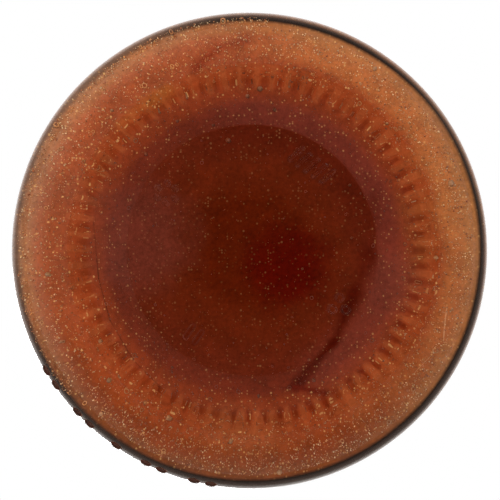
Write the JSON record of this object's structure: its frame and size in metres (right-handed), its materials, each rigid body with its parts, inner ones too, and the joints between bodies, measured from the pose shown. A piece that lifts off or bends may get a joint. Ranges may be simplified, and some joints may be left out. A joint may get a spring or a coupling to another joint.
{
  "type": "jar of soup base",
  "caption": "Squat round jar of soup base: clear glass with a knurled foot, orange-brown paste up to the shoulder, and a black steel lug lid.",
  "frame": {"origin": "on the jar's axis, at the plane that it stands on", "axes": "+Z along the jar's axis, from the base to the lid; +X is the start of the knurls and of one thread, and the row of heel dots is on the -Y and +X side"},
  "size_m": [0.073, 0.073, 0.0813],
  "materials": {
    "clear_glass": "clear, gloss, with a stippled bearing ring",
    "soup_paste": "moist oily paste",
    "black_lacquered_steel": "satin lacquer",
    "sealing_compound": "matte"
  },
  "bodies": {
    "root": {"jar": "clear_glass", "soup_base": "soup_paste", "lid": "black_lacquered_steel", "seal": "sealing_compound"}
  },
  "joints": []
}
